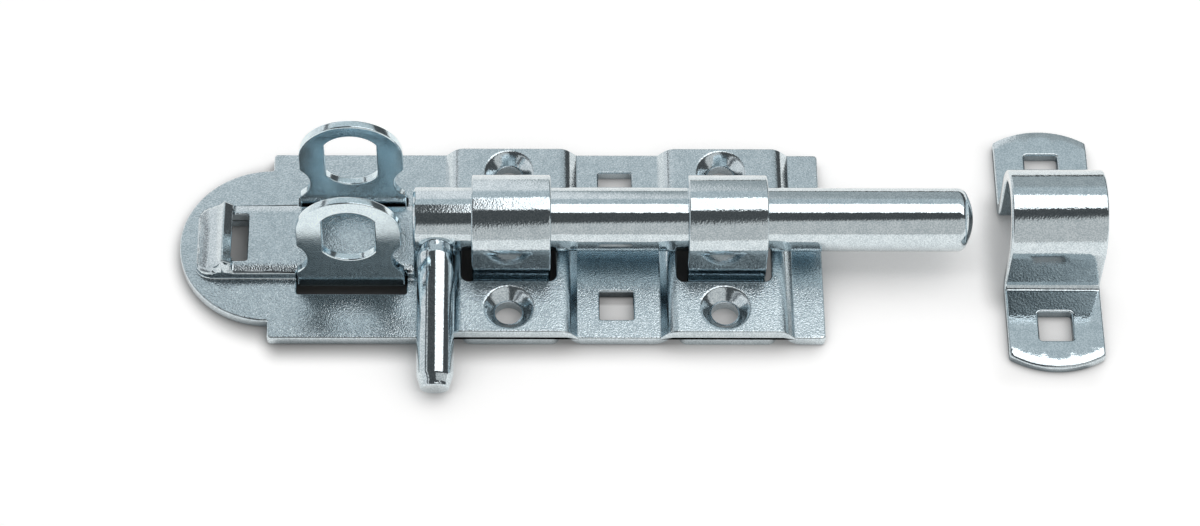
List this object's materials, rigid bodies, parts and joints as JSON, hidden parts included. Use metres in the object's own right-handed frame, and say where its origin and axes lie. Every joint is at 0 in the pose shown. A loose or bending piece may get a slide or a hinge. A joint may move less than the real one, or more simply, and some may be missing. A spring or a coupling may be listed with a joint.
{
  "type": "padbolt",
  "caption": "Surface padbolt: a round bar slides in pressed strap guides on a back plate, its turning handle locks beside a padlock bracket, and a loose hooped keep takes the bar's tip.",
  "frame": {"origin": "on the back plane, at the middle of the four countersunk screw holes", "axes": "+X along the bar towards the keep, +Y across the plate away from the resting handle, +Z out of the door, away from the back plane"},
  "size_m": [0.2315, 0.0804, 0.0393],
  "materials": {
    "plate_zinc": "bright zinc plating",
    "strap_zinc": "bright zinc plating",
    "bracket_zinc": "bright zinc plating",
    "rod_zinc": "bright zinc plating",
    "handle_zinc": "bright zinc plating",
    "keep_zinc": "bright zinc plating"
  },
  "bodies": {
    "plate": {"back_plate": "plate_zinc", "guide_strap_left": "strap_zinc", "guide_strap_right": "strap_zinc", "padlock_bracket": "bracket_zinc", "keep": "keep_zinc"},
    "bar": {"bolt_rod": "rod_zinc"},
    "handle": {"bolt_handle": "handle_zinc"}
  },
  "joints": [
    {"name": "bar_slide", "type": "slide", "parent": "plate", "child": "bar", "axis": [1, 0, 0], "range_m": [-0.003, 0]},
    {"name": "handle_turn", "type": "hinge", "parent": "bar", "child": "handle", "pos_m": [-0.0451, 0, 0.0146], "axis": [-1, 0, 0], "range_deg": [0, 206.5]}
  ]
}
